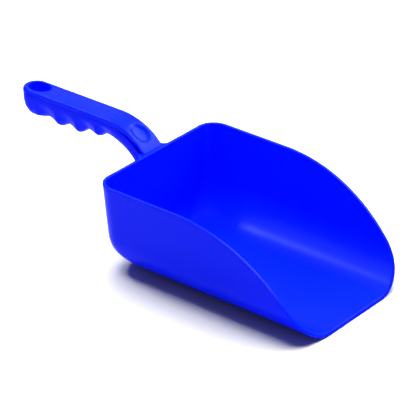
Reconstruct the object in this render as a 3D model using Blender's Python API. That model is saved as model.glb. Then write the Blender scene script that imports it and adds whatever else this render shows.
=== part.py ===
"""Feed scoop: an open-fronted plastic bowl on a hollow, finger-grooved handle.

The scoop lies on its flat floor. +X points out of the mouth, +Y across the bowl and +Z up.
The origin is on the surface it rests on, at the middle of its overall length and width.
"forward" below is the distance in front of the back of the rim, so the handle has negative values.
"""
import math

import bmesh
import bpy
from mathutils import Vector

MM = 0.001
GAP = 0.3 * MM                        # room between two pieces that touch
SPARE = 4.0 * MM                      # how far a cutter sticks out of what it cuts

# Bowl
BOWL_LENGTH = 230.6 * MM              # back of the rim to the lip
BOWL_WIDTH = 165.0 * MM               # across the rim, outside
BOWL_HEIGHT = 90.2 * MM
WALL = 3.2 * MM
SIDE_DRAFT = math.radians(5.5)
BACK_DRAFT = math.radians(1.7)
SIDE_FILLET = 41.0 * MM               # outside radius between the floor and a side wall
BACK_FILLET = 25.0 * MM               # outside radius between the floor and the back wall
CORNER_RADIUS = 18.5 * MM             # of the rim's back corners, seen from above
CORNER_GROWTH = (26.0 * MM, 12.0 * MM)  # how much rounder those corners are at the floor, in X and Y

# Mouth, a curve seen from the side: level rim, then a sweep down to the lip
RIM_LEVEL = 87.7 * MM                 # length of the level stretch
MOUTH_PULL_RIM = 83.0 * MM
MOUTH_PULL_LIP = 36.3 * MM
LIP_ANGLE = math.radians(66.9)

# Handle
HANDLE_REACH = 155.0 * MM             # how far the handle stands behind the rim
HANDLE_TOP = 111.8 * MM
COVER_HALF = 12.8 * MM
COVER_THICK = 4.3 * MM
BEND_START = -47.5 * MM               # where the level top starts to turn down, forward
BEND_RADIUS = 65.0 * MM
COVER_END = -0.5 * MM                 # the cover's front edge, forward
COVER_LENGTH = BEND_RADIUS * math.asin((COVER_END - BEND_START) / BEND_RADIUS)  # from the bend's start
ROOT_SINK = 0.85 * MM                 # how far the cover sinks below its arc, to end flush with the rim
SINK_START = 10.0 * MM
CHANNEL_INSET = 3.2 * MM              # side channel under the cover's edge, which opens towards the root
CHANNEL_DEPTH = 1.8 * MM              # of its roof, below the cover's top face
CHANNEL_SPAN = (6.0 * MM, 40.0 * MM)  # along the cover: where it starts and where it is fully open
HOLE_CENTRE = -138.0 * MM
HOLE_HALF = (12.1 * MM, 9.1 * MM)     # half sizes of the oval hang hole in X and Y
THUMB_HALF = (12.2 * MM, 9.2 * MM)    # half sizes of the thumb dish along the cover and across it
THUMB_DISTANCE = 34.0 * MM            # centre of the dish past the start of the bend, along the cover
THUMB_DEPTH = 1.8 * MM

# Grip shell
GRIP_HALF = 12.3 * MM
GRIP_CORNER = 2.9                     # exponent of the rounded lower cross-section
NOSE_RADIUS = 12.8 * MM
NOSE_TOP = 104.0 * MM                 # height where the rounded nose springs from the grip's end
NOSE_END = -137.0 * MM                # where the nose meets the first crest, forward
UNDER_CENTRE = (-50.3 * MM, 47.0 * MM)  # forward and height of the neck's under-curve
UNDER_RADIUS = 45.2 * MM
UNDERLINE = (                         # crests and finger grooves of the lowest line: forward and height
    (NOSE_END, 83.2 * MM),
    (-121.0 * MM, 86.8 * MM),
    (-107.8 * MM, 82.4 * MM),
    (-96.5 * MM, 86.8 * MM),
    (-84.5 * MM, 83.0 * MM),
    (-72.0 * MM, 89.3 * MM),
    (-60.5 * MM, 87.2 * MM),
    (UNDER_CENTRE[0], UNDER_CENTRE[1] + UNDER_RADIUS),
)
FIRST_RIDGE = -133.2 * MM             # ridges between the finger scallops in the grip's sides
RIDGE_PITCH = 24.05 * MM
RIDGES = 4
SCALLOP_DEPTH = 3.0 * MM
SCALLOP_FADE = (0.3, 0.9)             # start and length of the last scallop's fade, in pitches
SCALLOP_TOP = (0.12, 0.55)            # start and length of the scallops' slope, of the side's depth
SHOULDER_RECESS = (0.5 * MM, 2.7 * MM)  # step under the cover's edge, at the grip and at the root
SHOULDER_DROP = (0.4 * MM, 2.0 * MM)
CAVITY_HALF = 7.4 * MM
CAVITY_BACK = -120.0 * MM
SHELL_WALL = 2.6 * MM
SHELL_SLOPE_LIMIT = 2.2               # most that a steep underside adds to the wall's upright size

# Collar, moulded on the bowl's back wall, and the tang that fits inside the grip
COLLAR_HALF = 15.7 * MM
COLLAR_DEPTH = 5.8 * MM
COLLAR_FILLET = 5.0 * MM
COLLAR_FOOT = 55.5 * MM               # height of its lowest point at its back
COLLAR_STRAIGHT = 8.0 * MM            # straight part of its sides below the rim
TANG_HALF = 6.0 * MM
TANG_ROOT = (72.0 * MM, 86.0 * MM)    # its lowest and highest points at the collar
TANG_TIP = (88.5 * MM, 94.5 * MM)
TANG_REACH = 18.0 * MM
LAND_HALF = 7.0 * MM                  # the land under the cover, which drops into the grip
LAND_DEPTH = 2.2 * MM
LAND_END = -24.0 * MM                 # front of the land, along the cover before its front edge

# Mesh resolution: steps along each part of a shape
BACK_RIBS, CORNER_RIBS, SIDE_RIBS, MOUTH_RIBS, LIP_RIBS = 5, 7, 4, 18, 4
BOWL_ROWS = 18
GRIP_POINTS = 12
NOSE_STEPS, SCALLOP_STEPS, NECK_STEPS = 6, 9, 11
NOSE_ARC_STEPS, HOLE_STEPS, FLARE_STEPS = 20, 32, 6
DISH_STEPS, BEND_STEPS = 8, 4

RIM_BACK = (HANDLE_REACH - BOWL_LENGTH) / 2    # X of the back of the rim
SPINE_BACK = 62.0 * MM                # where the bowl's back and front ribs meet on the floor
SPINE_FRONT = 172.0 * MM


def lerp(start, end, share):
    return start + (end - start) * share


def ease(share):
    share = min(1.0, max(0.0, share))
    return share * share * (3 - 2 * share)


def steps(start, end, count):
    """Evenly spaced values from the start up to, but not including, the end."""
    return [lerp(start, end, i / count) for i in range(count)]


def place(forward, side, height):
    return Vector((RIM_BACK + forward, side, height))


# ---------------------------------------------------------------- materials and objects

def plastic(name):
    material = bpy.data.materials.new(name)
    material.use_nodes = True
    shader = material.node_tree.nodes["Principled BSDF"]
    shader.inputs["Base Color"].default_value = (0.004, 0.012, 0.82, 1.0)
    shader.inputs["Roughness"].default_value = 0.36
    shader.inputs["Metallic"].default_value = 0.0
    return material


def add_object(name, mesh_builder, material=None):
    """Turns a filled bmesh into an object: a piece if it has a material, otherwise a hidden tool."""
    bmesh.ops.remove_doubles(mesh_builder, verts=mesh_builder.verts, dist=0.002 * MM)
    bmesh.ops.recalc_face_normals(mesh_builder, faces=mesh_builder.faces)
    mesh = bpy.data.meshes.new(name)
    mesh_builder.to_mesh(mesh)
    mesh_builder.free()
    thing = bpy.data.objects.new(name, mesh)
    bpy.context.collection.objects.link(thing)
    if material:
        mesh.materials.append(material)
        mesh.shade_smooth()
        mesh.set_sharp_from_angle(angle=math.radians(35))
    else:
        thing.hide_render = True
        thing.display_type = "WIRE"
    return thing


def combine(piece, tool, operation):
    modifier = piece.modifiers.new(tool.name, "BOOLEAN")
    modifier.object = tool
    modifier.operation = operation
    modifier.solver = "EXACT"


def loft(mesh_builder, sections, closed=True):
    """Skins a row of equally long point lists and caps both ends."""
    rows = [[mesh_builder.verts.new(point) for point in section] for section in sections]
    count = len(rows[0])
    for row, next_row in zip(rows, rows[1:]):
        for i in range(count if closed else count - 1):
            j = (i + 1) % count
            mesh_builder.faces.new((row[i], row[j], next_row[j], next_row[i]))
    if closed:
        mesh_builder.faces.new(reversed(rows[0]))
        mesh_builder.faces.new(rows[-1])
    return rows


# ---------------------------------------------------------------- bowl

def wall_offset(height, fillet, draft):
    """How far a wall stands out from the foot of its floor fillet, at a height above the floor."""
    tangent = fillet * (1 - math.sin(draft))
    if height < tangent:
        return math.sqrt(max(0.0, fillet**2 - (fillet - height)**2))
    return fillet * math.cos(draft) + (height - tangent) * math.tan(draft)


FLOOR_HALF = BOWL_WIDTH / 2 - wall_offset(BOWL_HEIGHT, SIDE_FILLET, SIDE_DRAFT)
BACK_FOOT = wall_offset(BOWL_HEIGHT, BACK_FILLET, BACK_DRAFT)


def mouth_point(share):
    """Forward distance and height along the mouth, from the level rim (0) to the lip (1)."""
    controls = (
        (RIM_LEVEL, BOWL_HEIGHT),
        (RIM_LEVEL + MOUTH_PULL_RIM, BOWL_HEIGHT),
        (BOWL_LENGTH - MOUTH_PULL_LIP * math.cos(LIP_ANGLE), MOUTH_PULL_LIP * math.sin(LIP_ANGLE)),
        (BOWL_LENGTH, 0.0),
    )
    rest = 1 - share
    weights = (rest**3, 3 * rest**2 * share, 3 * rest * share**2, share**3)
    return tuple(sum(w * c[axis] for w, c in zip(weights, controls)) for axis in (0, 1))


def mouth_share_at(height):
    low, high = 0.0, 1.0
    for _ in range(50):
        middle = (low + high) / 2
        if mouth_point(middle)[1] > height:
            low = middle
        else:
            high = middle
    return low


class Skin:
    """One face of the bowl's wall: the outer one (inset 0) or the inner one (inset WALL)."""

    def __init__(self, inset):
        self.inset = inset
        self.fillet = SIDE_FILLET - inset
        self.last_mouth = mouth_share_at(inset)

    def half_width(self, height):
        return FLOOR_HALF + wall_offset(height - self.inset, self.fillet, SIDE_DRAFT)

    def back(self, height):
        return BACK_FOOT - wall_offset(height - self.inset, BACK_FILLET - self.inset, BACK_DRAFT)

    def corner(self, height):
        """X and Y radii of the back corner, which swells towards the floor."""
        slope = min(1.0, max(0.0, 1 - (height - self.inset) / self.fillet))
        swell = 1 - math.sqrt(1 - slope**2)
        return tuple(CORNER_RADIUS - self.inset + growth * swell for growth in CORNER_GROWTH)

    def girth(self, height):
        """Distance round the cross-section from the middle of the floor up to a height."""
        rise = max(0.0, height - self.inset)
        tangent = self.fillet * (1 - math.sin(SIDE_DRAFT))
        if rise < tangent:
            return FLOOR_HALF + self.fillet * math.acos(1 - rise / self.fillet)
        bend = self.fillet * (math.pi / 2 - SIDE_DRAFT)
        return FLOOR_HALF + bend + (rise - tangent) / math.cos(SIDE_DRAFT)

    def levels(self, top, count=60):
        """Heights from a wall's top down to the floor, closer together near the floor."""
        turns = [math.pi / 2 * i / count for i in range(count + 1)]
        return [lerp(top, self.inset, math.sin(turn)) for turn in turns]

    def back_rib(self, share):
        def at(height):
            radius = self.corner(height)[1]
            return self.back(height), share * (self.half_width(height) - radius)
        return self.wall_rib(at, SPINE_BACK)

    def corner_rib(self, share):
        turn = share * math.pi / 2

        def at(height):
            radius_x, radius_y = self.corner(height)
            forward = self.back(height) + radius_x * (1 - math.cos(turn))
            return forward, self.half_width(height) - radius_y * (1 - math.sin(turn))
        return self.wall_rib(at, SPINE_BACK)

    def side_rib(self, share):
        def at(height):
            start = self.back(height) + self.corner(height)[0]
            return lerp(start, RIM_LEVEL, share), self.half_width(height)
        return self.wall_rib(at, lerp(SPINE_BACK, RIM_LEVEL, share))

    def wall_rib(self, at, spine):
        rib = [place(*at(height), height) for height in self.levels(BOWL_HEIGHT)]
        return rib + [place(spine, 0.0, self.inset)]

    def mouth_rib(self, share):
        """These ribs stand closer together towards the lip, where the section is low and wide."""
        forward, top = mouth_point(math.sin(share * math.pi / 2) * self.last_mouth)
        spine = lerp(RIM_LEVEL, SPINE_FRONT, share)
        top = max(top, self.inset)
        whole = self.girth(top)
        rib = []
        for height in self.levels(top):
            part = self.girth(height) / whole
            rib.append(place(lerp(spine, forward, part), self.half_width(height), height))
        return rib + [place(spine, 0.0, self.inset)]

    def lip_rib(self, share):
        forward = mouth_point(self.last_mouth)[0]
        return [place(forward, (1 - share) * FLOOR_HALF, self.inset), place(SPINE_FRONT, 0.0, self.inset)]

    def ribs(self):
        """Curves from the rim down to the middle of the floor, for the +Y half of the bowl."""
        groups = (
            (self.back_rib, BACK_RIBS),
            (self.corner_rib, CORNER_RIBS),
            (self.side_rib, SIDE_RIBS),
            (self.mouth_rib, MOUTH_RIBS),
            (self.lip_rib, LIP_RIBS),
        )
        curves = [rib(i / count) for rib, count in groups for i in range(count)]
        curves.append(self.lip_rib(1.0))
        return [resample(curve, BOWL_ROWS) for curve in curves]


def resample(points, count):
    """The same curve with evenly spaced points."""
    reach = [0.0]
    for start, end in zip(points, points[1:]):
        reach.append(reach[-1] + (end - start).length)
    result = []
    k = 0
    for i in range(count + 1):
        target = reach[-1] * i / count
        while k < len(points) - 2 and reach[k + 1] < target:
            k += 1
        step = reach[k + 1] - reach[k]
        result.append(points[k].lerp(points[k + 1], (target - reach[k]) / step if step else 0.0))
    return result


def mirrored(section):
    return [Vector((point.x, -point.y, point.z)) for point in section]


def bowl_shell(material):
    mesh_builder = bmesh.new()
    outer = Skin(0.0).ribs()
    inner = Skin(WALL).ribs()
    sections = [list(reversed(low)) + high for low, high in zip(outer, inner)]
    loft(mesh_builder, sections, closed=False)
    loft(mesh_builder, [mirrored(section) for section in sections], closed=False)
    return add_object("bowl", mesh_builder, material)


def collar_tool():
    """U-shaped boss on the back wall, with a flared root that leans with the wall."""
    lean = math.tan(BACK_DRAFT)
    stations = [(-COLLAR_DEPTH, 0.0)]
    for turn in steps(0.0, math.pi / 2, FLARE_STEPS):
        stations.append((-COLLAR_FILLET * (1 - math.sin(turn)), COLLAR_FILLET * (1 - math.cos(turn))))
    stations.append((0.0, COLLAR_FILLET))
    stations.append((WALL / 2, COLLAR_FILLET))
    rings = []
    for forward, flare in stations:
        section = u_section(
            forward, COLLAR_HALF + flare, BOWL_HEIGHT, COLLAR_FOOT - flare, 0.0, COLLAR_STRAIGHT
        )
        share = min(1.0, 1 + forward / COLLAR_DEPTH)
        for point in section:
            point.x += lean * (BOWL_HEIGHT - point.z) * share
        rings.append(section + mirrored(section)[-2:0:-1])
    mesh_builder = bmesh.new()
    loft(mesh_builder, rings)
    return add_object("collar_tool", mesh_builder)


def tang_tool():
    """Short tongue on the collar that fills the mouth of the hollow grip."""
    mesh_builder = bmesh.new()
    sections = []
    for forward, (low, high) in ((-COLLAR_DEPTH / 2, TANG_ROOT), (-TANG_REACH, TANG_TIP)):
        corners = ((-TANG_HALF, low), (TANG_HALF, low), (TANG_HALF, high), (-TANG_HALF, high))
        sections.append([place(forward, side, height) for side, height in corners])
    loft(mesh_builder, sections)
    return add_object("tang_tool", mesh_builder)


def make_bowl(material):
    bowl = bowl_shell(material)
    combine(bowl, collar_tool(), "UNION")
    combine(bowl, tang_tool(), "UNION")


# ---------------------------------------------------------------- handle cover

def hole_tool(name):
    mesh_builder = bmesh.new()
    turns = steps(0.0, 2 * math.pi, HOLE_STEPS)
    outline = [(HOLE_HALF[0] * math.cos(turn), HOLE_HALF[1] * math.sin(turn)) for turn in turns]
    heights = (HANDLE_TOP / 2, HANDLE_TOP * 1.5)
    loft(mesh_builder, [[place(HOLE_CENTRE + x, y, z) for x, y in outline] for z in heights])
    return add_object(name, mesh_builder)


def root_sink(along):
    return ROOT_SINK * max(0.0, (along - SINK_START) / (COVER_LENGTH - SINK_START))**2


def bend_point(along, side, depth):
    """Takes a point of the flat cover to the bent one: distance along it from the start of the
    bend, distance across it, and depth below its top face."""
    if along < 0:
        return place(BEND_START + along, side, HANDLE_TOP - depth)
    turn = along / BEND_RADIUS
    radius = BEND_RADIUS - depth - root_sink(along)
    return place(
        BEND_START + radius * math.sin(turn), side, HANDLE_TOP - BEND_RADIUS + radius * math.cos(turn)
    )


def cover_outline():
    """Flat outline of the cover: round behind, square in front."""
    centre = -HANDLE_REACH - BEND_START + COVER_HALF
    length = COVER_LENGTH + 2 * MM
    arc = steps(math.pi / 2, 1.5 * math.pi, NOSE_ARC_STEPS) + [1.5 * math.pi]
    outline = [(centre + COVER_HALF * math.cos(turn), COVER_HALF * math.sin(turn)) for turn in arc]
    return outline + [(length, -COVER_HALF), (length, COVER_HALF)]


def prism(mesh_builder, outline, top, bottom):
    loft(mesh_builder, [[Vector((x, y, -depth)) for x, y in outline] for depth in (bottom, top)])


def slice_along(mesh_builder, axis, start, end, count):
    """Adds cross cuts, so that a flat mesh can be bent or dished."""
    for i in range(count + 1):
        point = Vector((0, 0, 0))
        point[axis] = lerp(start, end, i / count)
        normal = Vector((0, 0, 0))
        normal[axis] = 1
        parts = list(mesh_builder.verts) + list(mesh_builder.edges) + list(mesh_builder.faces)
        bmesh.ops.bisect_plane(mesh_builder, geom=parts, plane_co=point, plane_no=normal)


def thumb_dish(along, side):
    """Depth of the thumb dish at a point of the cover's top face."""
    reach = math.hypot((along - THUMB_DISTANCE) / THUMB_HALF[0], side / THUMB_HALF[1])
    return THUMB_DEPTH * max(0.0, 1 - reach**2)


def bend_cover(mesh_builder):
    for vertex in mesh_builder.verts:
        along, side, depth = vertex.co.x, vertex.co.y, -vertex.co.z
        if depth < GAP:
            depth += thumb_dish(along, side)
        vertex.co = bend_point(along, side, depth)


def root_tool():
    """Trims the cover where it meets the collar and the back wall."""
    far, wide = 20 * MM, 2 * COVER_HALF
    shape = (
        (COVER_END, 2 * HANDLE_TOP),
        (COVER_END, BOWL_HEIGHT + GAP),
        (-COLLAR_DEPTH - 2 * GAP, BOWL_HEIGHT + GAP),
        (-COLLAR_DEPTH - 2 * GAP, BOWL_HEIGHT / 2),
        (far, BOWL_HEIGHT / 2),
        (far, 2 * HANDLE_TOP),
    )
    mesh_builder = bmesh.new()
    loft(mesh_builder, [[place(x, y, z) for x, z in shape] for y in (-wide, wide)])
    return add_object("root_tool", mesh_builder)


def make_cover(material):
    """Strip that closes the grip: thumb dish above, a land below that drops into the grip."""
    outline = cover_outline()
    length = outline[-1][0]
    mesh_builder = bmesh.new()
    prism(mesh_builder, outline, 0.0, COVER_THICK)
    start, end = THUMB_DISTANCE - THUMB_HALF[0], THUMB_DISTANCE + THUMB_HALF[0]
    slice_along(mesh_builder, 0, 0.0, start, BEND_STEPS)
    slice_along(mesh_builder, 0, start, end, DISH_STEPS)
    slice_along(mesh_builder, 0, end, length, BEND_STEPS)
    slice_along(mesh_builder, 1, -THUMB_HALF[1], THUMB_HALF[1], DISH_STEPS)
    bmesh.ops.triangulate(mesh_builder, faces=mesh_builder.faces)
    bend_cover(mesh_builder)
    cover = add_object("handle_cover", mesh_builder, material)
    combine(cover, land_tool(length), "UNION")
    combine(cover, channel_tool("left_channel_tool", COVER_HALF), "DIFFERENCE")
    combine(cover, channel_tool("right_channel_tool", -COVER_HALF), "DIFFERENCE")
    combine(cover, hole_tool("cover_hole_tool"), "DIFFERENCE")
    combine(cover, root_tool(), "DIFFERENCE")


def channel_tool(name, edge):
    """Cuts under one edge of the cover, from nothing at the bend to the full inset near the root."""
    start, full = CHANNEL_SPAN
    end = COVER_LENGTH + SPARE
    inside = edge * (1 - CHANNEL_INSET / COVER_HALF)
    beyond = edge + math.copysign(SPARE, edge)
    outline = [(start, edge), (full, inside), (end, inside), (end, beyond), (start, beyond)]
    mesh_builder = bmesh.new()
    prism(mesh_builder, outline, CHANNEL_DEPTH, 2 * COVER_THICK)
    slice_along(mesh_builder, 0, start, end, 2 * BEND_STEPS)
    bmesh.ops.triangulate(mesh_builder, faces=mesh_builder.faces)
    bend_cover(mesh_builder)
    return add_object(name, mesh_builder)


def land_tool(length):
    back = CAVITY_BACK - BEND_START + 2 * MM
    front = length + LAND_END
    mesh_builder = bmesh.new()
    corners = [(back, -LAND_HALF), (front, -LAND_HALF), (front, LAND_HALF), (back, LAND_HALF)]
    prism(mesh_builder, corners, COVER_THICK / 2, COVER_THICK + LAND_DEPTH)
    slice_along(mesh_builder, 0, 0.0, front, BEND_STEPS)
    bend_cover(mesh_builder)
    return add_object("land_tool", mesh_builder)


# ---------------------------------------------------------------- grip shell

def grip_top(forward):
    """Height of the grip's top face, just under the cover."""
    drop = COVER_THICK + GAP
    if forward < BEND_START:
        return HANDLE_TOP - drop
    away = forward - BEND_START
    radius = BEND_RADIUS - drop
    radius -= root_sink(BEND_RADIUS * math.asin(away / radius))
    return HANDLE_TOP - BEND_RADIUS + math.sqrt(radius**2 - away**2)


def grip_bottom(forward):
    """Height of the grip's lowest line: rounded nose, finger grooves, then the neck's arc."""
    if forward < NOSE_END:
        share = (forward - NOSE_END) / (HANDLE_REACH + NOSE_END)
        crest = UNDERLINE[0][1]
        return NOSE_TOP - (NOSE_TOP - crest) * math.sqrt(max(0.0, 1 - share**2))
    for (start, low), (end, high) in zip(UNDERLINE, UNDERLINE[1:]):
        if forward < end:
            return lerp(low, high, ease((forward - start) / (end - start)))
    away = forward - UNDER_CENTRE[0]
    return UNDER_CENTRE[1] + math.sqrt(UNDER_RADIUS**2 - away**2)


def grip_half(forward):
    centre = -HANDLE_REACH + NOSE_RADIUS
    if forward >= centre:
        return GRIP_HALF
    return GRIP_HALF * math.sqrt(max(0.0, 1 - ((forward - centre) / NOSE_RADIUS)**2))


def scallop(forward):
    """Depth of the finger scallops in the grip's sides, which meet at sharp ridges."""
    part = (forward - FIRST_RIDGE) / RIDGE_PITCH
    if part <= 0:
        return 0.0
    if part < RIDGES - 1:
        return SCALLOP_DEPTH * math.sin(math.pi * (part % 1))
    fade = part - (RIDGES - 1)
    left = 1 - ease((fade - SCALLOP_FADE[0]) / SCALLOP_FADE[1])
    return SCALLOP_DEPTH * math.sin(math.pi * min(fade, 0.5)) * left


def shoulder(forward):
    """Depth and height of the recess between the cover and the grip's side, deeper at the root."""
    start, end = (BEND_START + distance for distance in CHANNEL_SPAN)
    share = ease((forward - start) / (end - start))
    return lerp(*SHOULDER_RECESS, share), lerp(*SHOULDER_DROP, share)


def grip_stations(start, end):
    """Cross-section places: by ridges along the grip, and even round the neck's arc."""
    centre = -HANDLE_REACH + NOSE_RADIUS
    nose = [centre - NOSE_RADIUS * math.cos(turn) for turn in steps(0.0, math.pi / 2, NOSE_STEPS)]
    after = FIRST_RIDGE + RIDGES * RIDGE_PITCH
    level = steps(centre, FIRST_RIDGE, 3) + steps(FIRST_RIDGE, after, RIDGES * SCALLOP_STEPS)
    turns = [math.asin((forward - UNDER_CENTRE[0]) / UNDER_RADIUS) for forward in (after, end)]
    neck = [UNDER_CENTRE[0] + UNDER_RADIUS * math.sin(turn) for turn in steps(*turns, NECK_STEPS)]
    return [start] + [forward for forward in nose + level + neck if forward > start + MM] + [end]


def u_section(forward, half, top, bottom, recess, step, bite=0.0):
    """Half of a U-shaped cross-section, from the middle of its top round to its lowest point. The
    bite is how far its lower sides are drawn in."""
    recess = min(recess, half * 0.5)
    side = top - step - recess
    points = [(0.0, top), (half - recess, top), (half - recess, top - step)]
    for i in range(GRIP_POINTS + 1):
        turn = math.pi / 2 * i / GRIP_POINTS
        across = math.cos(turn) ** (2 / GRIP_CORNER) if i < GRIP_POINTS else 0.0
        down = math.sin(turn) ** (2 / GRIP_CORNER)
        pull = 1 - bite / half * ease((down - SCALLOP_TOP[0]) / SCALLOP_TOP[1])
        points.append((half * across * pull, lerp(side, bottom, down)))
    return [place(forward, y, z) for y, z in points]


def grip_body(material):
    sections = []
    for forward in grip_stations(-HANDLE_REACH, -COLLAR_DEPTH - GAP):
        recess, step = shoulder(forward)
        half = max(grip_half(forward), 0.01 * MM)
        top, bottom = grip_top(forward), grip_bottom(forward)
        sections.append(u_section(forward, half, top, bottom, recess, step, scallop(forward)))
    rings = [section + mirrored(section)[-2:0:-1] for section in sections]
    mesh_builder = bmesh.new()
    loft(mesh_builder, rings)
    return add_object("handle_grip", mesh_builder, material)


def cavity_tool():
    """The hollow of the grip, open at its top, under the cover, and at its root, round the tang."""
    sections = []
    for forward in grip_stations(CAVITY_BACK, -COLLAR_DEPTH - GAP) + [-COLLAR_DEPTH / 2]:
        steep = min(SHELL_SLOPE_LIMIT, math.hypot(1, slope_below(forward)))
        bottom = grip_bottom(min(forward, -COLLAR_DEPTH - GAP)) + SHELL_WALL * steep
        sections.append(u_section(forward, CAVITY_HALF, grip_top(forward) + SPARE, bottom, 0.0, SPARE))
    rings = [section + mirrored(section)[-2:0:-1] for section in sections]
    mesh_builder = bmesh.new()
    loft(mesh_builder, rings)
    return add_object("cavity_tool", mesh_builder)


def slope_below(forward):
    step = 0.5 * MM
    start = min(forward, -COLLAR_DEPTH - step)
    return (grip_bottom(start) - grip_bottom(start - step)) / step


def make_grip(material):
    """Lower half of the handle: four finger grooves, a hollow, and the hang hole through its end."""
    grip = grip_body(material)
    combine(grip, cavity_tool(), "DIFFERENCE")
    combine(grip, hole_tool("grip_hole_tool"), "DIFFERENCE")


def main():
    for thing in list(bpy.data.objects):
        bpy.data.objects.remove(thing)
    make_bowl(plastic("bowl_plastic"))
    make_cover(plastic("cover_plastic"))
    make_grip(plastic("grip_plastic"))


main()
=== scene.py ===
"""Looks of the feed scoop: fine moulded shells in blue plastic, on a pale studio floor.

Positions come from the frame. "forward" is the distance in front of the back of the bowl's rim,
so the handle has negative values; "height" is above the floor.
"""
import math

import bmesh
import bpy
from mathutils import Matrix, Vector


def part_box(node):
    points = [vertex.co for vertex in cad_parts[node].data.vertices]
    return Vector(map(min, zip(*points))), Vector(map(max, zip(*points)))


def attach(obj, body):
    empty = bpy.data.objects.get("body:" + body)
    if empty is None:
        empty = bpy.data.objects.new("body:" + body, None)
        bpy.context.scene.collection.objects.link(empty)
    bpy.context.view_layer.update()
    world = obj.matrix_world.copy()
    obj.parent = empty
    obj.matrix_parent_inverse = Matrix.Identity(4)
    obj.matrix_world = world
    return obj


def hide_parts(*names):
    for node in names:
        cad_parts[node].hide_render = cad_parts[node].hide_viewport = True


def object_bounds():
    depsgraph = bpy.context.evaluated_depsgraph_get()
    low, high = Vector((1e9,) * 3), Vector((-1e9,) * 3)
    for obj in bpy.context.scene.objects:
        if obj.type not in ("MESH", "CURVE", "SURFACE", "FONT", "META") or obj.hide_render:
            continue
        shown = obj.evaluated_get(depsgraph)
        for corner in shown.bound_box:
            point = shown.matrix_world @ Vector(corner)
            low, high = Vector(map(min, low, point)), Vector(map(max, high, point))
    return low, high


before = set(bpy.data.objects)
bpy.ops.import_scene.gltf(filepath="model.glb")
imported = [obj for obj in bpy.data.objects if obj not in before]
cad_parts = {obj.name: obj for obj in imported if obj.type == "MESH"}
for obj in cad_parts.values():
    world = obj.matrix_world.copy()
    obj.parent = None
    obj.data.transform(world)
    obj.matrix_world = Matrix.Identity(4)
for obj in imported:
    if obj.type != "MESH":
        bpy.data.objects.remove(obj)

MM = 0.001
SHARP_ANGLE = math.radians(38)
cad_low, cad_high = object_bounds()

# ---------------------------------------------------------------- sizes

GAP = 0.3 * MM                                  # between neighbouring pieces
HAIR = 0.01 * MM                                # keeps points apart that would fall together
HANDLE_REACH = 155.0 * MM
RIM_BACK = cad_low.x + HANDLE_REACH             # X of the back of the rim
BOWL_LENGTH = cad_high.x - RIM_BACK
BOWL_WIDTH = cad_high.y - cad_low.y
BOWL_HEIGHT = 90.2 * MM                         # the bowl's box is higher: it holds its tang
HANDLE_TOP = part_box("handle_cover")[1].z
COVER_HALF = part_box("handle_cover")[1].y
GRIP_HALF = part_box("handle_grip")[1].y

# Bowl
WALL = 3.2 * MM
SIDE_DRAFT = math.radians(5.5)
BACK_DRAFT = math.radians(1.7)
SIDE_FILLET = 41.0 * MM
BACK_FILLET = 25.0 * MM
CORNER_RADIUS = 18.5 * MM
CORNER_GROWTH = (26.0 * MM, 12.0 * MM)          # how much rounder the back corners are at the floor
RIM_ROUND = 0.7 * MM                            # rounding of the rim's edges
SPINE_BACK = 62.0 * MM                          # where the back and front ribs meet on the floor
SPINE_FRONT = 172.0 * MM

# Mouth
RIM_LEVEL = 87.7 * MM                           # length of the level rim
MOUTH_PULL_RIM = 83.0 * MM                      # how strongly the curve leaves the rim and the lip
MOUTH_PULL_LIP = 36.3 * MM
LIP_ANGLE = math.radians(66.9)

# Handle cover
COVER_THICK = 4.3 * MM
COVER_ROUND = (2.3 * MM, 2.8 * MM)              # rounding of its top edge, across and down
COVER_ROUND_UNDER = (0.25 * MM, 0.5 * MM)
BEND_START = -47.5 * MM                         # distances along the cover start here
BEND_RADIUS = 65.0 * MM
COVER_END = -0.5 * MM
COVER_LENGTH = BEND_RADIUS * math.asin((COVER_END - BEND_START) / BEND_RADIUS)
COVER_SPARE = 3.0 * MM                          # what is trimmed off at the root
COVER_CENTRE = -HANDLE_REACH - BEND_START + COVER_HALF   # centre of its round end, along the cover
ROOT_SINK = 0.85 * MM                           # how far the cover sinks below its arc at the root
SINK_START = 10.0 * MM
COVER_ROUND_ROOT = 0.7 * MM                     # rounding of its top edge near the root
CHANNEL_SPAN = (11.0 * MM, 42.0 * MM)           # along the cover: where the side channel gets deep
CHANNEL_EDGE = (                                # edge over the channel, in mm: inset and depth
    (0.0, 1.3), (0.15, 1.6), (0.5, 1.75), (2.2, 1.85), (2.8, 2.0), (3.1, 2.4), (3.2, 3.0), (3.2, 4.3),
)
HOLE_CENTRE = -138.0 * MM
HOLE_HALF = (12.1 * MM, 9.1 * MM)
HOLE_ROUND = 0.5 * MM
HOLE_SIDES = 96
HOLE_SPARE = 5.0 * MM                           # how far its cutter stands out at both ends
THUMB_HALF = (12.2 * MM, 9.2 * MM)
THUMB_DISTANCE = 34.0 * MM
THUMB_BRIM, THUMB_FOOT = 1.06, 0.54             # start and end of the dish's wall, of its half size
THUMB_WALL = 1.8 * MM                           # depth of the dish at the foot of its wall
THUMB_FLOOR = 0.5 * MM                          # and how much deeper its middle is

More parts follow.
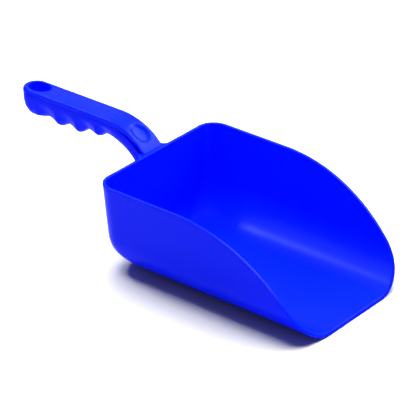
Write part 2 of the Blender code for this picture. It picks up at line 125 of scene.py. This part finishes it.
# Grip shell
GRIP_CORNER = 2.9                               # power of its rounded sections: 2 is an ellipse
NOSE_RADIUS = 12.8 * MM
NOSE_CENTRE = NOSE_RADIUS - HANDLE_REACH
NOSE_END = -137.0 * MM                          # where the rounded nose meets the first crest
NOSE_TOP = 104.0 * MM
UNDER_CENTRE = (-50.3 * MM, 47.0 * MM)          # arc under the neck: forward and height
UNDER_RADIUS = 45.2 * MM
UNDERLINE = (                                   # crests and grooves: forward and height
    (NOSE_END, 83.2 * MM),
    (-121.0 * MM, 86.8 * MM),
    (-107.8 * MM, 82.4 * MM),
    (-96.5 * MM, 86.8 * MM),
    (-84.5 * MM, 83.0 * MM),
    (-72.0 * MM, 89.3 * MM),
    (-60.5 * MM, 87.2 * MM),
    (UNDER_CENTRE[0], UNDER_CENTRE[1] + UNDER_RADIUS),
)
FIRST_RIDGE = -133.2 * MM                       # ridges between the scallops in the grip's sides
RIDGE_PITCH = 24.05 * MM
RIDGES = 4
SCALLOP_DEPTH = 2.2 * MM
SCALLOP_FADE = (0.3, 0.9)                       # start and length of the last one's end, in pitches
SCALLOP_TOP = (0.12, 0.55)                      # start and length of their slope, down the side
SIDE_EDGE = 0.8 * MM                            # rounding of the top edge of the grip's sides
SHOULDER_RECESS = (0.4 * MM, 2.7 * MM)          # step under the cover's edge: grip end, root end
SHOULDER_DROP = (0.15 * MM, 2.0 * MM)
GRIP_END = -5.85 * MM

# Collar
COLLAR_HALF = 15.7 * MM
COLLAR_DEPTH = 5.8 * MM
COLLAR_FILLET = 5.0 * MM
COLLAR_ROUND = 0.8 * MM
COLLAR_FOOT = 55.5 * MM
COLLAR_STRAIGHT = 8.0 * MM


def lerp(start, end, share):
    return start + (end - start) * share


def ease(share):
    share = min(1.0, max(0.0, share))
    return share * share * (3 - 2 * share)


def steps(start, end, count):
    return [lerp(start, end, i / count) for i in range(count)]


def place(forward, side, height):
    return Vector((RIM_BACK + forward, side, height))


# ---------------------------------------------------------------- mesh helpers

def add_mesh(name, mesh_builder):
    bmesh.ops.remove_doubles(mesh_builder, verts=mesh_builder.verts, dist=0.002 * MM)
    bmesh.ops.recalc_face_normals(mesh_builder, faces=mesh_builder.faces)
    mesh = bpy.data.meshes.new(name)
    mesh_builder.to_mesh(mesh)
    mesh_builder.free()
    mesh.shade_smooth()
    mesh.set_sharp_from_angle(angle=SHARP_ANGLE)
    piece = bpy.data.objects.new(name, mesh)
    bpy.context.collection.objects.link(piece)
    return piece


def skin(mesh_builder, rows, closed=False):
    """Quads between neighbouring point lists of equal length."""
    vertex_rows = [[mesh_builder.verts.new(point) for point in row] for row in rows]
    count = len(vertex_rows[0])
    for row, next_row in zip(vertex_rows, vertex_rows[1:]):
        for i in range(count if closed else count - 1):
            j = (i + 1) % count
            mesh_builder.faces.new((row[i], row[j], next_row[j], next_row[i]))
    return vertex_rows


def mirrored(points):
    return [Vector((point.x, -point.y, point.z)) for point in points]


def cut_away(piece, tools):
    """Cuts the tools' shapes out of a piece, then deletes the tools."""
    for tool in tools:
        modifier = piece.modifiers.new(tool.name, "BOOLEAN")
        modifier.object = tool
        modifier.operation = "DIFFERENCE"
        modifier.solver = "EXACT"
    depsgraph = bpy.context.evaluated_depsgraph_get()
    mesh = bpy.data.meshes.new_from_object(piece.evaluated_get(depsgraph))
    piece.modifiers.clear()
    old = piece.data
    piece.data = mesh
    bpy.data.meshes.remove(old)
    for tool in tools:
        bpy.data.objects.remove(tool)
    mesh.shade_smooth()
    mesh.set_sharp_from_angle(angle=SHARP_ANGLE)


# ---------------------------------------------------------------- bowl

def wall_offset(height, fillet, draft):
    """How far a wall stands out from the foot of its floor fillet, at a height above the floor."""
    tangent = fillet * (1 - math.sin(draft))
    if height < tangent:
        return math.sqrt(max(0.0, fillet**2 - (fillet - height)**2))
    return fillet * math.cos(draft) + (height - tangent) * math.tan(draft)


FLOOR_HALF = BOWL_WIDTH / 2 - wall_offset(BOWL_HEIGHT, SIDE_FILLET, SIDE_DRAFT)
BACK_FOOT = wall_offset(BOWL_HEIGHT, BACK_FILLET, BACK_DRAFT)


def mouth_point(share):
    """Forward distance and height along the mouth, from the level rim (0) to the lip (1)."""
    controls = (
        (RIM_LEVEL, BOWL_HEIGHT),
        (RIM_LEVEL + MOUTH_PULL_RIM, BOWL_HEIGHT),
        (BOWL_LENGTH - MOUTH_PULL_LIP * math.cos(LIP_ANGLE), MOUTH_PULL_LIP * math.sin(LIP_ANGLE)),
        (BOWL_LENGTH, 0.0),
    )
    rest = 1 - share
    weights = (rest**3, 3 * rest**2 * share, 3 * rest * share**2, share**3)
    return tuple(sum(w * c[axis] for w, c in zip(weights, controls)) for axis in (0, 1))


def mouth_share_at(height):
    """The share of the mouth's curve where it passes a height, by halving."""
    low, high = 0.0, 1.0
    for _ in range(50):
        middle = (low + high) / 2
        if mouth_point(middle)[1] > height:
            low = middle
        else:
            high = middle
    return low


def collar_swell(side, height):
    """How far the collar stands out of the back wall: full inside the U-shaped outline that the
    handle grows out of, with a rounded edge and a wide flare down to the wall around it. Its back
    face is upright, while the wall leans."""
    depth = COLLAR_DEPTH + (BOWL_HEIGHT - height) * math.tan(BACK_DRAFT)
    middle = BOWL_HEIGHT - COLLAR_STRAIGHT
    down = max(0.0, middle - height)
    shares = (abs(side) / COLLAR_HALF, down / (middle - COLLAR_FOOT))
    reach = sum(share**GRIP_CORNER for share in shares) ** (1 / GRIP_CORNER)
    if reach == 0:
        return depth
    outside = (reach - 1) * math.hypot(side, down) / reach
    step = depth - COLLAR_ROUND
    if outside <= -COLLAR_ROUND:
        return depth
    if outside <= 0:
        return step + math.sqrt(COLLAR_ROUND**2 - (outside + COLLAR_ROUND)**2)
    if outside >= COLLAR_FILLET:
        return 0.0
    return step - step / COLLAR_FILLET * math.sqrt(COLLAR_FILLET**2 - (COLLAR_FILLET - outside)**2)


def collar_ribs():
    """Places across the back wall, closest together at the collar's edge and flare."""
    edge_start, edge_end = COLLAR_HALF - 1.5 * MM, COLLAR_HALF + 0.2 * MM
    flare_end = COLLAR_HALF + COLLAR_FILLET + 0.5 * MM
    face, edge = steps(0.0, edge_start, 16), steps(edge_start, edge_end, 9)
    return face + edge + steps(edge_end, flare_end, 16)


LEVELS = 160                                    # steps down each rib, before it is resampled
UPRIGHT_RIBS = (0.4, 0.4)                       # where the back's upright ribs give way to spread
UPRIGHT_FOOT = (28.0 * MM, 20.0 * MM)           # ones: start and length, across and in height


class Skin:
    """One face of the bowl's wall: the outer one (inset 0) or the inner one (inset WALL)."""

    def __init__(self, inset):
        self.inset = inset
        self.fillet = SIDE_FILLET - inset
        self.last_mouth = mouth_share_at(inset)

    def half_width(self, height):
        return FLOOR_HALF + wall_offset(height - self.inset, self.fillet, SIDE_DRAFT)

    def back(self, height):
        return BACK_FOOT - wall_offset(height - self.inset, BACK_FILLET - self.inset, BACK_DRAFT)

    def corner(self, height):
        """X and Y radii of the back corner, which swells towards the floor."""
        slope = min(1.0, max(0.0, 1 - (height - self.inset) / self.fillet))
        swell = 1 - math.sqrt(1 - slope**2)
        return tuple(CORNER_RADIUS - self.inset + growth * swell for growth in CORNER_GROWTH)

    def girth(self, height):
        """Distance round the cross-section from the middle of the floor up to a height."""
        rise = max(0.0, height - self.inset)
        tangent = self.fillet * (1 - math.sin(SIDE_DRAFT))
        if rise < tangent:
            return FLOOR_HALF + self.fillet * math.acos(1 - rise / self.fillet)
        bend = self.fillet * (math.pi / 2 - SIDE_DRAFT)
        return FLOOR_HALF + bend + (rise - tangent) / math.cos(SIDE_DRAFT)

    def levels(self, top):
        """Heights from a wall's top down to the floor, closer together near the floor."""
        turns = [math.pi / 2 * i / LEVELS for i in range(LEVELS + 1)]
        return [lerp(top, self.inset, math.sin(turn)) for turn in turns]

    def flat_half(self, height):
        """Half the width of the back wall between its corners."""
        return self.half_width(height) - self.corner(height)[1]

    def back_rib(self, share):
        """Upright where the collar is, and spread over the flat of the wall further down."""
        upright = 1 - ease((share - UPRIGHT_RIBS[0]) / UPRIGHT_RIBS[1])

        def at(height):
            flat = self.flat_half(height)
            keep = upright * ease((height - UPRIGHT_FOOT[0]) / UPRIGHT_FOOT[1])
            return self.back(height), share * lerp(flat, self.flat_half(BOWL_HEIGHT), keep)
        rib = self.wall_rib(at, SPINE_BACK)
        if self.inset == 0:
            for point in rib:
                point.x -= collar_swell(point.y, point.z)
        return rib

    def corner_rib(self, share):
        turn = share * math.pi / 2

        def at(height):
            radius_x, radius_y = self.corner(height)
            forward = self.back(height) + radius_x * (1 - math.cos(turn))
            return forward, self.half_width(height) - radius_y * (1 - math.sin(turn))
        return self.wall_rib(at, SPINE_BACK)

    def side_rib(self, share):
        def at(height):
            start = self.back(height) + self.corner(height)[0]
            return lerp(start, RIM_LEVEL, share), self.half_width(height)
        return self.wall_rib(at, lerp(SPINE_BACK, RIM_LEVEL, share))

    def wall_rib(self, at, spine):
        """Down the wall along at(height), its forward and side values, then over to the spine."""
        rib = [place(*at(height), height) for height in self.levels(BOWL_HEIGHT)]
        return rib + [place(spine, 0.0, self.inset)]

    def mouth_rib(self, share):
        """These ribs stand closer together towards the lip, where the section is low and wide."""
        forward, top = mouth_point(math.sin(share * math.pi / 2) * self.last_mouth)
        spine = lerp(RIM_LEVEL, SPINE_FRONT, share)
        top = max(top, self.inset)
        whole = self.girth(top)
        rib = []
        for height in self.levels(top):
            part = self.girth(height) / whole
            rib.append(place(lerp(spine, forward, part), self.half_width(height), height))
        return rib + [place(spine, 0.0, self.inset)]

    def lip_rib(self, share):
        forward = mouth_point(self.last_mouth)[0]
        start = place(forward, (1 - share) * FLOOR_HALF, self.inset)
        return [start, place(SPINE_FRONT, 0.0, self.inset)]

    def ribs(self):
        """Curves from the rim down to the middle of the floor, for the +Y half of the bowl."""
        flat = self.flat_half(BOWL_HEIGHT)
        near = [side / flat for side in collar_ribs()]
        curves = [self.back_rib(share) for share in near + steps(near[-1] + 0.02, 1.0, 12)]
        mouth = ((self.mouth_rib, 70), (self.lip_rib, 14))
        groups = ((self.corner_rib, 20), (self.side_rib, 14)) + mouth
        curves += [rib(i / count) for rib, count in groups for i in range(count)]
        curves.append(self.lip_rib(1.0))
        return curves


# The rows of each rib's points: close together in the part below the rim, where the collar is.
ROWS = steps(0.0, 0.3, 50) + steps(0.3, 1.0, 42) + [1.0]


def resample(points, shares):
    """Points of the same curve at these shares of its length."""
    reach = [0.0]
    for start, end in zip(points, points[1:]):
        reach.append(reach[-1] + (end - start).length)
    result = []
    k = 0
    for share in shares:
        target = reach[-1] * share
        while k < len(points) - 2 and reach[k + 1] < target:
            k += 1
        step = reach[k + 1] - reach[k]
        result.append(points[k].lerp(points[k + 1], (target - reach[k]) / step if step else 0.0))
    return result


def rounded_edge(rib, inward):
    """Points from the skin over to the rim's face, round the edge at the top of a rib."""
    rising = (rib[0] - rib[1]).normalized()
    points = []
    count = 5
    for i in range(count + 1):
        turn = math.pi / 2 * i / count
        back, across = RIM_ROUND * (1 - math.sin(turn)), RIM_ROUND * (1 - math.cos(turn))
        points.append(rib[0] - rising * back + inward * across)
    return points


def below_edge(rib):
    """The rib without the part that its rounded edge takes."""
    left = RIM_ROUND
    points = list(rib)
    while (points[0] - points[1]).length <= left:
        left -= (points[0] - points[1]).length
        points.pop(0)
    points[0] = points[0] + (points[1] - points[0]).normalized() * left
    return resample(points, ROWS)[1:]


def make_bowl():
    """Outer and inner skins, joined by the rounded edge of the rim."""
    mesh_builder = bmesh.new()
    sections = []
    for outer, inner in zip(Skin(0.0).ribs(), Skin(WALL).ribs()):
        inward = (inner[0] - outer[0]).normalized()
        edge = rounded_edge(outer, inward) + rounded_edge(inner, -inward)[::-1]
        sections.append(below_edge(outer)[::-1] + edge + below_edge(inner))
    skin(mesh_builder, sections)
    skin(mesh_builder, [mirrored(section) for section in sections])
    return add_mesh("bowl_shell", mesh_builder)


# ---------------------------------------------------------------- handle cover

def root_sink(along):
    """How far the cover sinks below its arc, at a distance along it."""
    return ROOT_SINK * max(0.0, (along - SINK_START) / (COVER_LENGTH - SINK_START))**2


def bend_point(along, side, depth):
    """Takes a point of the flat cover to the bent one: distance along it from the start of the
    bend, distance across it, and depth below its top face."""
    if along < 0:
        return place(BEND_START + along, side, HANDLE_TOP - depth)
    turn = along / BEND_RADIUS
    radius = BEND_RADIUS - depth - root_sink(along)
    height = HANDLE_TOP - BEND_RADIUS + radius * math.cos(turn)
    return place(BEND_START + radius * math.sin(turn), side, height)


def thumb_dish(along, side):
    """Depth of the thumb dish: an S-shaped wall down to its foot, and a shallow round floor."""
    reach = math.hypot((along - THUMB_DISTANCE) / THUMB_HALF[0], side / THUMB_HALF[1])
    wall = THUMB_WALL * ease((THUMB_BRIM - reach) / (THUMB_BRIM - THUMB_FOOT))
    return wall + THUMB_FLOOR * max(0.0, 1 - (reach / THUMB_FOOT)**2)


def quarter(radius, count):
    """Offsets (across, along) of a quarter circle that starts upright and ends level."""
    turns = [math.pi / 2 * i / count for i in range(count + 1)]
    return [(radius * (1 - math.cos(turn)), radius * math.sin(turn)) for turn in turns]


def cover_edge(share):
    """(inset, depth) round the cover's edge, from its top face to its underside. Share 0 is the
    full round-edged bar, and 1 the thin plate over a deep channel near the root."""
    across_round, down_round = (lerp(size, COVER_ROUND_ROOT, share) for size in COVER_ROUND)
    points = []
    for across, rise in reversed(quarter(1.0, 7)):
        points.append((across * across_round, (1 - rise) * down_round))
    start = COVER_THICK - COVER_ROUND_UNDER[1]
    bar = []
    for across, rise in quarter(1.0, 7):
        bar.append((across * COVER_ROUND_UNDER[0], start + rise * COVER_ROUND_UNDER[1]))
    for bar_point, plate_point in zip(bar, CHANNEL_EDGE):
        points.append(tuple(lerp(a, b * MM, share) for a, b in zip(bar_point, plate_point)))
    return points


# Points across the cover's top face, close together where the thumb dish is.
FLAT_HALF = COVER_HALF - COVER_ROUND[0]
DISH_COLUMNS_END = 10.2 * MM
COLUMNS = steps(0.0, DISH_COLUMNS_END, 48) + steps(DISH_COLUMNS_END, FLAT_HALF, 3)
COLUMNS.append(FLAT_HALF - HAIR)


def cover_rib(along, way):
    """Half a cross-section of the cover, out from a point of its centreline along a unit vector."""
    share = ease((along - CHANNEL_SPAN[0]) / (CHANNEL_SPAN[1] - CHANNEL_SPAN[0]))
    edge = cover_edge(share)
    points = []
    for column in COLUMNS:
        x, y = along + way[0] * column, way[1] * column
        points.append(bend_point(x, y, thumb_dish(x, y)))
    under = [(COVER_HALF - lerp(edge[-1][0], COVER_HALF, i / 6), COVER_THICK) for i in range(1, 7)]
    for side, depth in [(COVER_HALF - inset, depth) for inset, depth in edge] + under:
        points.append(bend_point(along + way[0] * side, way[1] * side, depth))
    return points


def slab(mesh_builder, outline, y_half):
    """Solid with this side-view outline (forward, height), as wide as asked."""
    sides = [[place(x, y, z) for x, z in outline] for y in (-y_half, y_half)]
    rows = skin(mesh_builder, sides, True)
    mesh_builder.faces.new(rows[0][::-1])
    mesh_builder.faces.new(rows[1])


def root_tool():
    """Trims the cover where it meets the collar and the back wall."""
    back = -COLLAR_DEPTH - 2 * GAP
    inside = 20 * MM                            # well past the back wall
    mesh_builder = bmesh.new()
    slab(mesh_builder, (
        (COVER_END, 2 * HANDLE_TOP),
        (COVER_END, BOWL_HEIGHT + GAP),
        (back, BOWL_HEIGHT + GAP),
        (back, BOWL_HEIGHT / 2),
        (inside, BOWL_HEIGHT / 2),
        (inside, 2 * HANDLE_TOP),
    ), 2 * COVER_HALF)
    return add_mesh("root_tool", mesh_builder)


def hole_ring(height, margin):
    """Points round the oval hole at a height, a margin outside its edge."""
    half_x, half_y = HOLE_HALF[0] + margin, HOLE_HALF[1] + margin
    turns = [2 * math.pi * i / HOLE_SIDES for i in range(HOLE_SIDES)]
    return [place(HOLE_CENTRE + half_x * math.cos(t), half_y * math.sin(t), height) for t in turns]


def hole_tool(low, high, flare):
    """Oval plug through the space between two heights. A flare rounds the hole's top edge."""
    rings = [hole_ring(low - HOLE_SPARE, 0.0)]
    if flare:
        edge = quarter(HOLE_ROUND, 5)
        rings += [hole_ring(high - HOLE_ROUND + rise, across) for across, rise in edge]
    rings.append(hole_ring(high + HOLE_SPARE, HOLE_ROUND if flare else 0.0))
    mesh_builder = bmesh.new()
    rows = skin(mesh_builder, rings, True)
    mesh_builder.faces.new(rows[0])
    mesh_builder.faces.new(rows[-1])
    return add_mesh("hole_tool", mesh_builder)


def make_cover():
    """Strip with a round end, bent down at the root, with the hanging hole and the thumb dish."""
    length = COVER_LENGTH + COVER_SPARE
    dish_reach = THUMB_HALF[0] * 1.1
    dish_start, dish_end = THUMB_DISTANCE - dish_reach, THUMB_DISTANCE + dish_reach
    stations = steps(COVER_CENTRE, 0.0, 60) + steps(0.0, dish_start, 20)
    stations += steps(dish_start, dish_end, 90) + steps(dish_end, length, 12) + [length]
    fan = [(-math.cos(turn), math.sin(turn)) for turn in steps(0.0, math.pi / 2, 40)]
    ribs = [cover_rib(COVER_CENTRE, way) for way in fan]
    ribs += [cover_rib(along, (0.0, 1.0)) for along in stations]
    mesh_builder = bmesh.new()
    for half in (ribs, [mirrored(rib) for rib in ribs]):
        rows = skin(mesh_builder, half)
        mesh_builder.faces.new(rows[-1])
    cover = add_mesh("cover_strip", mesh_builder)
    under = HANDLE_TOP - COVER_THICK
    cut_away(cover, [hole_tool(under, HANDLE_TOP, flare=True), root_tool()])
    return cover


# ---------------------------------------------------------------- grip shell

def grip_top(forward):
    """Height of the grip's top face, just under the cover."""
    drop = COVER_THICK + GAP
    if forward < BEND_START:
        return HANDLE_TOP - drop
    away = forward - BEND_START
    radius = BEND_RADIUS - drop
    radius -= root_sink(BEND_RADIUS * math.asin(away / radius))
    return HANDLE_TOP - BEND_RADIUS + math.sqrt(radius**2 - away**2)


def grip_bottom(forward):
    """Height of the grip's lowest line: rounded nose, finger grooves, then the neck's arc."""
    if forward < NOSE_END:
        share = (forward - NOSE_END) / (HANDLE_REACH + NOSE_END)
        crest = UNDERLINE[0][1]
        return NOSE_TOP - (NOSE_TOP - crest) * math.sqrt(max(0.0, 1 - share**2))
    for (start, low), (end, high) in zip(UNDERLINE, UNDERLINE[1:]):
        if forward < end:
            return lerp(low, high, ease((forward - start) / (end - start)))
    away = forward - UNDER_CENTRE[0]
    return UNDER_CENTRE[1] + math.sqrt(UNDER_RADIUS**2 - away**2)


def grip_half(forward):
    """Half the grip's width, which closes at the nose."""
    if forward >= NOSE_CENTRE:
        return GRIP_HALF
    return GRIP_HALF * math.sqrt(max(0.0, 1 - ((forward - NOSE_CENTRE) / NOSE_RADIUS)**2))


def scallop(forward):
    """Depth of the finger scallops in the grip's sides, which meet at sharp ridges."""
    part = (forward - FIRST_RIDGE) / RIDGE_PITCH
    if part <= 0:
        return 0.0
    if part < RIDGES - 1:
        return SCALLOP_DEPTH * math.sin(math.pi * (part % 1))
    fade = part - (RIDGES - 1)
    left = 1 - ease((fade - SCALLOP_FADE[0]) / SCALLOP_FADE[1])
    return SCALLOP_DEPTH * math.sin(math.pi * min(fade, 0.5)) * left


def shoulder(forward):
    """Depth and height of the recess between the cover and the grip's side, deeper at the root."""
    channel = (BEND_START + CHANNEL_SPAN[0], BEND_START + CHANNEL_SPAN[1])
    share = ease((forward - channel[0]) / (channel[1] - channel[0]))
    return lerp(*SHOULDER_RECESS, share), lerp(*SHOULDER_DROP, share)


def grip_section(forward):
    """Half a cross-section, from the middle of the top round to the lowest point."""
    half = max(grip_half(forward), HAIR)
    top, bottom = grip_top(forward), grip_bottom(forward)
    recess, step = shoulder(forward)
    recess = min(recess, half * 0.5)
    corner = min(SIDE_EDGE, recess)
    foot = top - step
    side = foot - 2 * corner                    # the rounding is twice as high as it is wide
    points = [(0.0, top), (half - recess, top), (half - recess, foot), (half - corner, foot)]
    for across, rise in reversed(quarter(corner, 5)[:-1]):
        points.append((half - across, side + 2 * rise))
    bite = scallop(forward)
    count = 40
    for i in range(1, count + 1):
        turn = math.pi / 2 * i / count
        across = math.cos(turn) ** (2 / GRIP_CORNER) if i < count else 0.0
        down = math.sin(turn) ** (2 / GRIP_CORNER)
        pull = 1 - bite * ease((down - SCALLOP_TOP[0]) / SCALLOP_TOP[1]) / GRIP_HALF
        points.append((half * across * pull, lerp(side, bottom, down)))
    return [place(forward, y, z) for y, z in points]


def grip_stations():
    """Places of the grip's sections, from the tip of the nose to the collar."""
    nose = [NOSE_CENTRE - NOSE_RADIUS * math.cos(turn) for turn in steps(0.0, math.pi / 2, 28)]
    stations = nose + steps(NOSE_CENTRE, FIRST_RIDGE, 14)
    for ridge in range(RIDGES):
        start = FIRST_RIDGE + ridge * RIDGE_PITCH
        stations += steps(start, start + RIDGE_PITCH, 44)
    after = FIRST_RIDGE + RIDGES * RIDGE_PITCH
    turns = [math.asin((x - UNDER_CENTRE[0]) / UNDER_RADIUS) for x in (after, GRIP_END)]
    neck = [UNDER_CENTRE[0] + UNDER_RADIUS * math.sin(turn) for turn in steps(*turns, 50)]
    return stations + neck + [GRIP_END]


def make_grip():
    """Lower half of the handle, closed where the cover hides its hollow."""
    rings = []
    for forward in grip_stations():
        section = grip_section(forward)
        rings.append(section + mirrored(section)[-2:0:-1])
    mesh_builder = bmesh.new()
    rows = skin(mesh_builder, rings, True)
    mesh_builder.faces.new(rows[0])
    mesh_builder.faces.new(rows[-1])
    grip = add_mesh("grip_shell", mesh_builder)
    cut_away(grip, [hole_tool(grip_bottom(HOLE_CENTRE), HANDLE_TOP, flare=False)])
    return grip


# ---------------------------------------------------------------- plastic

PIGMENT = (                         # cloud value and colour
    (0.3, (0.0002, 0.0068, 0.94, 1.0)),
    (0.75, (0.0004, 0.0085, 1.0, 1.0)),
)
BOWL_FLOW = (1.0, 2.2, 2.2)         # how much finer the flow marks are along each axis
HANDLE_FLOW = (1.0, 3.0, 3.0)
GLOSS_TINT = (0.55, 1.0, 1.0, 1.0)
PLASTIC_IOR = 1.5


def link(tree, source, output, target, socket):
    tree.links.new(source.outputs[output], target.inputs[socket])


def noise(tree, coordinates, scale, detail, stretch=None):
    """Noise on the object's own coordinates, finer by the stretch along each axis."""
    source, output = coordinates, "Object"
    if stretch:
        mapping = tree.nodes.new("ShaderNodeMapping")
        mapping.inputs["Scale"].default_value = stretch
        link(tree, coordinates, "Object", mapping, "Vector")
        source, output = mapping, "Vector"
    texture = tree.nodes.new("ShaderNodeTexNoise")
    texture.inputs["Scale"].default_value = scale
    texture.inputs["Detail"].default_value = detail
    link(tree, source, output, texture, "Vector")
    return texture


def ranged(tree, texture, values, results):
    """Turns a span of a noise texture's values into a span of results."""
    node = tree.nodes.new("ShaderNodeMapRange")
    for socket, value in zip(("From Min", "From Max", "To Min", "To Max"), values + results):
        node.inputs[socket].default_value = value
    link(tree, texture, "Fac", node, "Value")
    return node


def bump(tree, texture, strength, distance):
    node = tree.nodes.new("ShaderNodeBump")
    node.inputs["Strength"].default_value = strength
    node.inputs["Distance"].default_value = distance
    link(tree, texture, "Fac", node, "Height")
    return node


def plastic(name, variant, stretch, roughness, specular):
    """Satin blue polypropylene: clouded pigment, a fine mould texture, flow marks and faint wear."""
    material = bpy.data.materials.new(name)
    material.use_nodes = True
    tree = material.node_tree
    shader = tree.nodes["Principled BSDF"]
    coordinates = tree.nodes.new("ShaderNodeTexCoord")

    clouds = noise(tree, coordinates, scale=9.0 + variant, detail=5.0)
    pigment = tree.nodes.new("ShaderNodeValToRGB")
    for element, (position, colour) in zip(pigment.color_ramp.elements, PIGMENT):
        element.position = position
        element.color = colour
    link(tree, clouds, "Fac", pigment, "Fac")
    link(tree, pigment, "Color", shader, "Base Color")

    flow = noise(tree, coordinates, scale=16.0, detail=4.0, stretch=stretch)
    specks = noise(tree, coordinates, scale=900.0, detail=2.0)
    gloss = ranged(tree, flow, (0.3, 0.7), (roughness - 0.04, roughness + 0.05))
    scuff = ranged(tree, specks, (0.62, 0.75), (0.0, 0.05))
    rough = tree.nodes.new("ShaderNodeMath")
    rough.operation = "ADD"
    link(tree, gloss, "Result", rough, 0)
    link(tree, scuff, "Result", rough, 1)
    link(tree, rough, "Value", shader, "Roughness")

    grain = noise(tree, coordinates, scale=1500.0, detail=3.0)
    ripple = noise(tree, coordinates, scale=60.0, detail=3.0, stretch=stretch)
    fine = bump(tree, grain, strength=0.015, distance=0.1 * MM)
    broad = bump(tree, ripple, strength=0.05, distance=0.4 * MM)
    link(tree, fine, "Normal", broad, "Normal")
    link(tree, broad, "Normal", shader, "Normal")

    shader.inputs["IOR"].default_value = PLASTIC_IOR
    shader.inputs["Specular IOR Level"].default_value = specular
    shader.inputs["Specular Tint"].default_value = GLOSS_TINT
    return material


def add_piece(piece, node, material):
    piece.data.materials.clear()
    piece.data.materials.append(material)
    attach(piece, "root")
    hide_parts(node)


# ---------------------------------------------------------------- studio

VIEW_TARGET = Vector((-0.00375, 0.0363, 0.0266))
VIEW_AZIMUTH = math.radians(38.94)
VIEW_ELEVATION = math.radians(28.62)
VIEW_DISTANCE = 2.41
LENS = 226.6
FLOOR_HALF_WIDTH = 12.0
FLOOR_SHADE = 0.57
WORLD_LIGHT = 0.12


def direction(azimuth, elevation):
    """Unit vector towards a place in the studio: azimuth 0 is the -Y side and 90 the +X side."""
    level = math.cos(elevation)
    return Vector((math.sin(azimuth) * level, -math.cos(azimuth) * level, math.sin(elevation)))


def add_camera():
    data = bpy.data.cameras.new("camera")
    data.lens = LENS
    data.sensor_width = 36.0
    camera = bpy.data.objects.new("camera", data)
    bpy.context.collection.objects.link(camera)
    camera.location = VIEW_TARGET + direction(VIEW_AZIMUTH, VIEW_ELEVATION) * VIEW_DISTANCE
    camera.rotation_euler = (math.pi / 2 - VIEW_ELEVATION, 0.0, VIEW_AZIMUTH)
    bpy.context.scene.camera = camera


def add_floor():
    mesh_builder = bmesh.new()
    half = FLOOR_HALF_WIDTH
    corners = ((-half, -half, 0.0), (half, -half, 0.0), (half, half, 0.0), (-half, half, 0.0))
    mesh_builder.faces.new([mesh_builder.verts.new(corner) for corner in corners])
    floor = add_mesh("studio_floor", mesh_builder)
    material = bpy.data.materials.new("studio_floor")
    material.use_nodes = True
    shader = material.node_tree.nodes["Principled BSDF"]
    shader.inputs["Base Color"].default_value = (FLOOR_SHADE, FLOOR_SHADE, FLOOR_SHADE, 1.0)
    shader.inputs["Roughness"].default_value = 0.9
    shader.inputs["Specular IOR Level"].default_value = 0.0
    floor.data.materials.append(material)


def add_light(name, azimuth, elevation, distance, size, power, diffuse=True, glossy=True):
    """Round light that faces the origin: its direction in degrees, distance and size in metres, and
    power in watts. A sheen light is not diffuse, and shows only in reflections."""
    data = bpy.data.lights.new(name, "AREA")
    data.shape = "DISK"
    data.size = size
    data.energy = power
    light = bpy.data.objects.new(name, data)
    bpy.context.collection.objects.link(light)
    way = direction(math.radians(azimuth), math.radians(elevation))
    light.location = way * distance
    light.visible_diffuse = diffuse
    light.visible_glossy = glossy
    light.rotation_euler = way.to_track_quat("Z", "Y").to_euler()


def add_studio():
    scene = bpy.context.scene
    scene.view_settings.view_transform = "Standard"
    world = bpy.data.worlds.new("studio")
    world.use_nodes = True
    background = world.node_tree.nodes["Background"]
    background.inputs["Color"].default_value = (1.0, 1.0, 1.0, 1.0)
    background.inputs["Strength"].default_value = WORLD_LIGHT
    scene.world = world
    add_light("key", 160.0, 43.0, 2.2, 1.6, 51.0)
    add_light("key_sheen", 160.0, 43.0, 2.2, 1.6, 30.0, diffuse=False)
    add_light("overhead", 226.0, 76.0, 2.2, 2.0, 136.0, glossy=False)
    add_light("side", 276.0, 55.0, 2.4, 0.35, 24.0)
    add_light("side_sheen", 276.0, 55.0, 2.4, 0.35, 12.0, diffuse=False)
    add_light("back", 219.0, 44.0, 2.5, 2.0, 12.2, diffuse=False)
    add_light("left", 306.0, 44.0, 2.5, 1.6, 27.0, diffuse=False)
    add_light("low", 326.0, 13.0, 2.5, 1.0, 6.0, diffuse=False)


def main():
    bowl_blue = plastic("bowl_blue", 0, BOWL_FLOW, roughness=0.33, specular=0.042)
    cover_blue = plastic("cover_blue", 1, HANDLE_FLOW, roughness=0.28, specular=0.052)
    grip_blue = plastic("grip_blue", 2, HANDLE_FLOW, roughness=0.38, specular=0.033)
    add_piece(make_bowl(), "bowl", bowl_blue)
    add_piece(make_cover(), "handle_cover", cover_blue)
    add_piece(make_grip(), "handle_grip", grip_blue)
    add_floor()
    add_studio()
    add_camera()


main()
